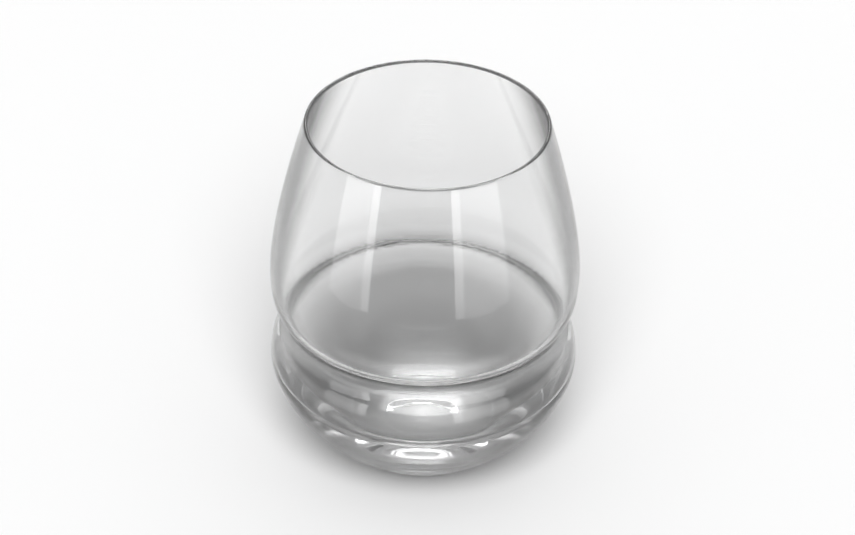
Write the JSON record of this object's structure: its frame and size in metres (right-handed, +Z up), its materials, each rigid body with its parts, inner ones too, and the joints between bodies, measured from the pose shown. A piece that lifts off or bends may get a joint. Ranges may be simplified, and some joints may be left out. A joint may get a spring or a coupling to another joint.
{
  "type": "stemless wine glass",
  "caption": "Clear stemless wine glass with two rounded bulbs pinched at a waist, a mouth that closes in to a thin rounded rim, and a thick base with a push-up.",
  "frame": {"origin": "centre of the foot ring, on the surface that the glass stands on", "axes": "+Z up along the axis of the glass, towards the mouth; the glass is round, so +X and +Y are any two level directions"},
  "size_m": [0.0954, 0.0954, 0.114],
  "materials": {
    "glass": "clear, fire-polished"
  },
  "bodies": {
    "root": {"glass": "glass"}
  },
  "joints": []
}
